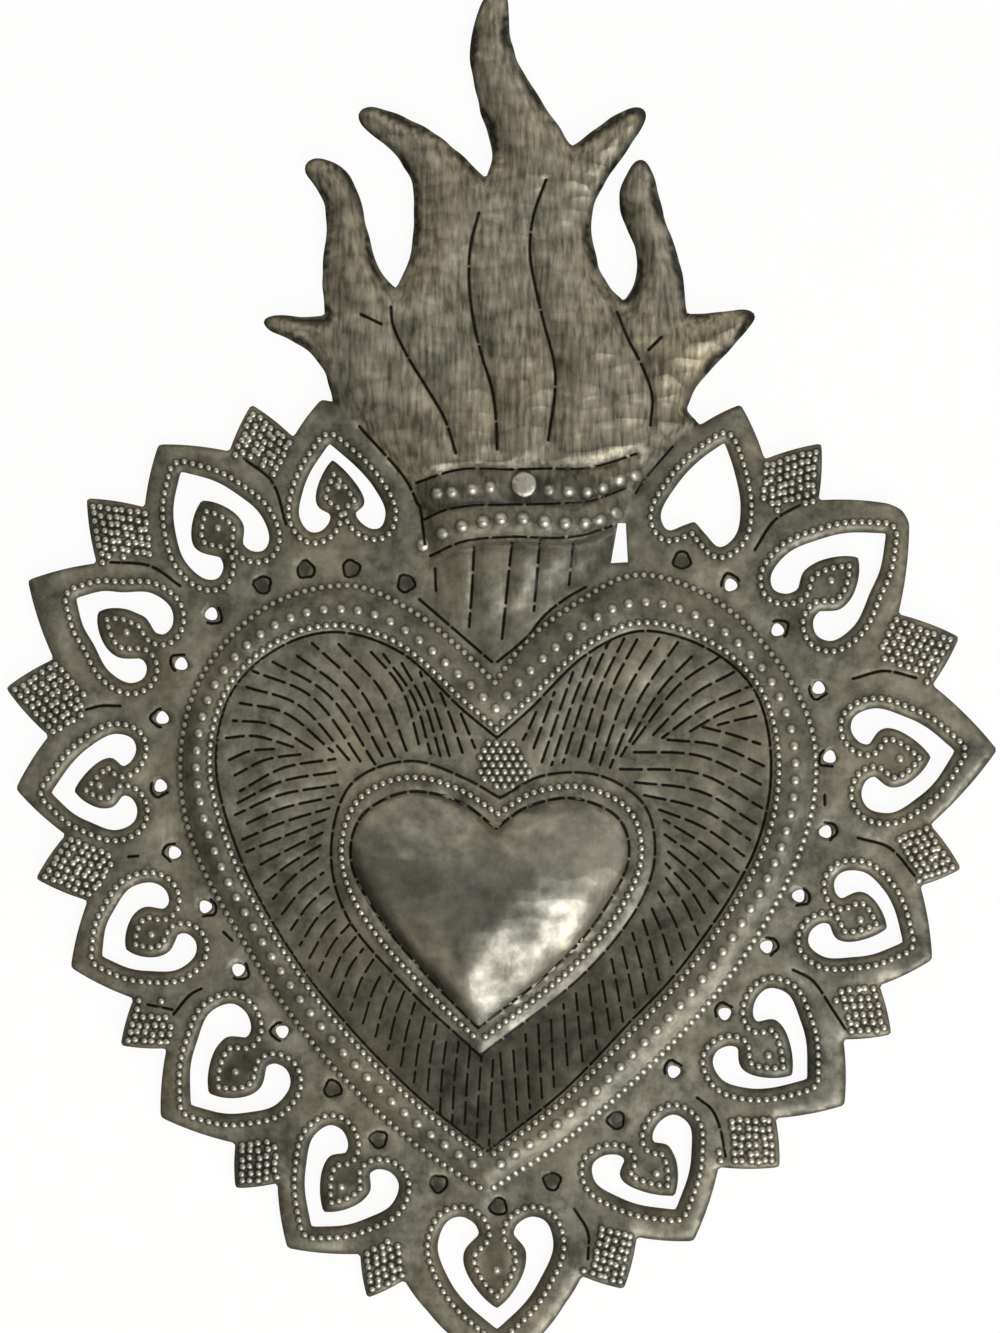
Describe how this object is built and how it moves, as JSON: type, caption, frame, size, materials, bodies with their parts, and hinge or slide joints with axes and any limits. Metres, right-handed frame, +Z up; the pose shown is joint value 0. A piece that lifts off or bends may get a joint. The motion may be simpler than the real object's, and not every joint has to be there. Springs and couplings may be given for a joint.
{
  "type": "sacred heart wall ornament",
  "caption": "Flaming heart cut, pierced and hammered from a sheet of lacquered drum steel, with a beaded band, a domed inner heart and a scalloped border, hung by a riveted D-ring.",
  "frame": {"origin": "the wall nail: the point on the wall plane where the bow of the D-ring bears when the ring is turned up", "axes": "+Z up along the heart's height, +X to the viewer's right, +Y into the wall, so the front faces -Y and the wall is the plane Y = 0"},
  "size_m": [0.3294, 0.0162, 0.4589],
  "materials": {
    "lacquered_drum_steel": "hammered and burnished raw drum steel under clear lacquer",
    "peened_rivet_steel": "hammered grainy under clear lacquer",
    "strap_steel": "cold-bent strip of the same drum steel",
    "ring_wire": "drawn bright wire"
  },
  "bodies": {
    "heart": {"heart_sheet": "lacquered_drum_steel", "hanger_rivet": "peened_rivet_steel", "hanger_strap": "strap_steel"},
    "ring": {"hanger_ring": "ring_wire"}
  },
  "joints": [
    {"name": "ring_swing", "type": "hinge", "parent": "heart", "child": "ring", "pos_m": [0, -0.0041, -0.0257], "axis": [1, 0, 0], "range_deg": [-2, 182]}
  ]
}
